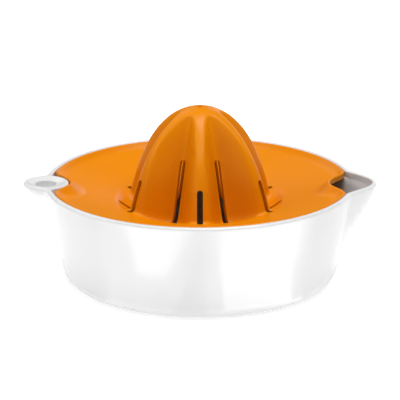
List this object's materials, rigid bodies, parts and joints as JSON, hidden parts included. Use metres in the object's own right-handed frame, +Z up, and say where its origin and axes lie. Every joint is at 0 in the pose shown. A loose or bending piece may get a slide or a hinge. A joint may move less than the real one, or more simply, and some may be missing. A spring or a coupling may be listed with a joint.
{
  "type": "citrus press juicer",
  "caption": "Manual citrus press: ribbed reamer cone in a slotted strainer tray that lifts out of a round bowl with a pouring spout and a hanging loop.",
  "frame": {"origin": "centre of the juicer on the surface that it stands on, which is also the bowl's axis", "axes": "+X from the hanging loop to the pouring spout, +Z up along the bowl's axis and out of the reamer's tip"},
  "size_m": [0.1771, 0.156, 0.0914],
  "materials": {
    "white_gloss_plastic": "high gloss",
    "soft_grey_rubber": "matt",
    "orange_plastic": "satin gloss"
  },
  "bodies": {
    "bowl_body": {"bowl": "white_gloss_plastic", "non_slip_ring": "soft_grey_rubber"},
    "press_body": {"press": "orange_plastic"}
  },
  "joints": [
    {"name": "press_lift", "type": "slide", "parent": "bowl_body", "child": "press_body", "axis": [0, 0, 1], "range_m": [0, 0.05]}
  ]
}
